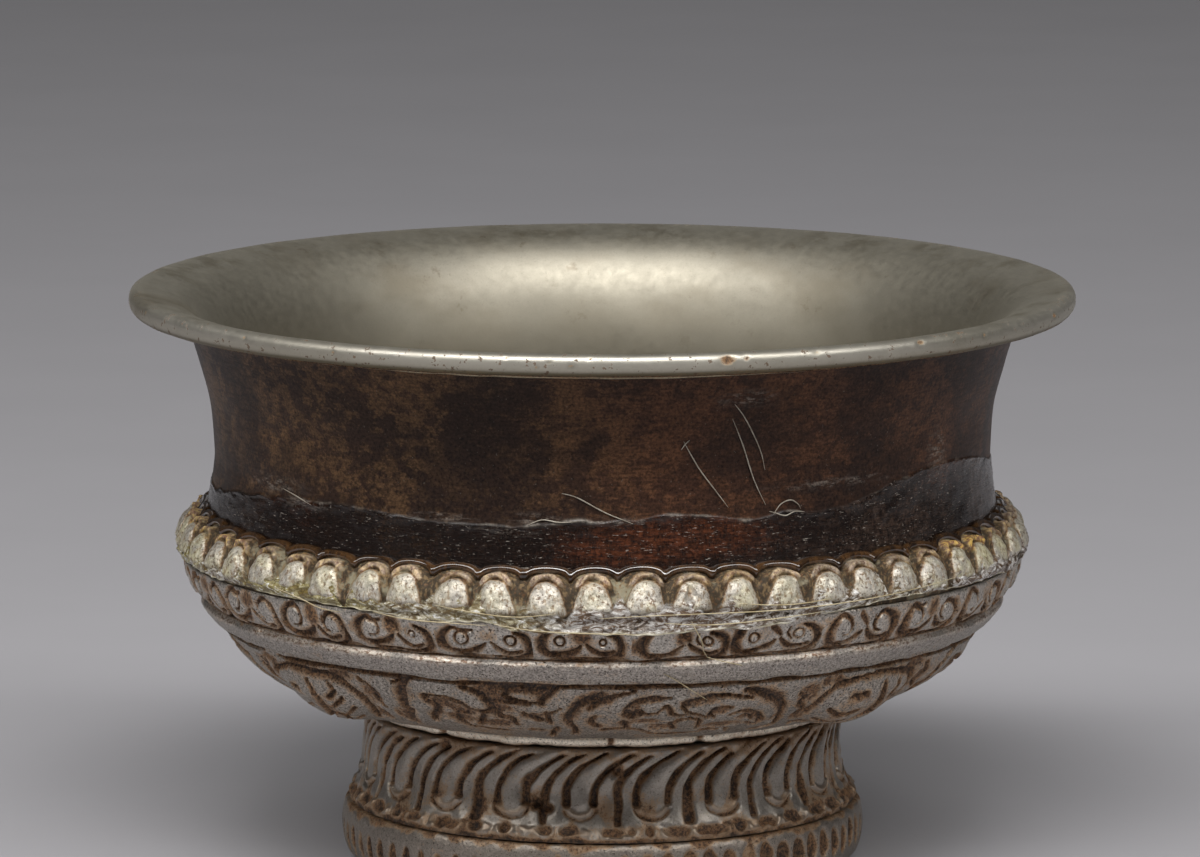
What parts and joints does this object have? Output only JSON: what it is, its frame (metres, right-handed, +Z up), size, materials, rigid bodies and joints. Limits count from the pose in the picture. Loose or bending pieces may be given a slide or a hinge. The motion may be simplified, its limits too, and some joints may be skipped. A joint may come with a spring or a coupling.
{
  "type": "offering bowl",
  "caption": "Footed offering bowl: a waisted burl-wood bowl with a silver lining turned over its lip, held in a chased silver cup on a flared foot.",
  "frame": {"origin": "middle of the flat face under the foot ring, on the surface that the bowl stands on", "axes": "+Z up along the bowl's axis, towards the lip; +X and +Y lie on the table and only the petals and leaves are counted round from them"},
  "size_m": [0.09, 0.09, 0.0545],
  "materials": {
    "silver": "satin",
    "worn_silver": "worn, dark in its recesses",
    "burl_wood": "polished",
    "amber_resin": "gloss",
    "pitch": "matt"
  },
  "bodies": {
    "root": {"silver_liner": "silver", "lip_band": "silver", "wood_bowl": "burl_wood", "resin_bead": "amber_resin", "pitch_bedding": "pitch", "petal_crown": "worn_silver", "scroll_band": "worn_silver", "girdle_band": "silver", "frieze_cup": "worn_silver", "foot_collar": "worn_silver", "foot_skirt": "worn_silver", "foot_ring": "worn_silver"}
  },
  "joints": []
}
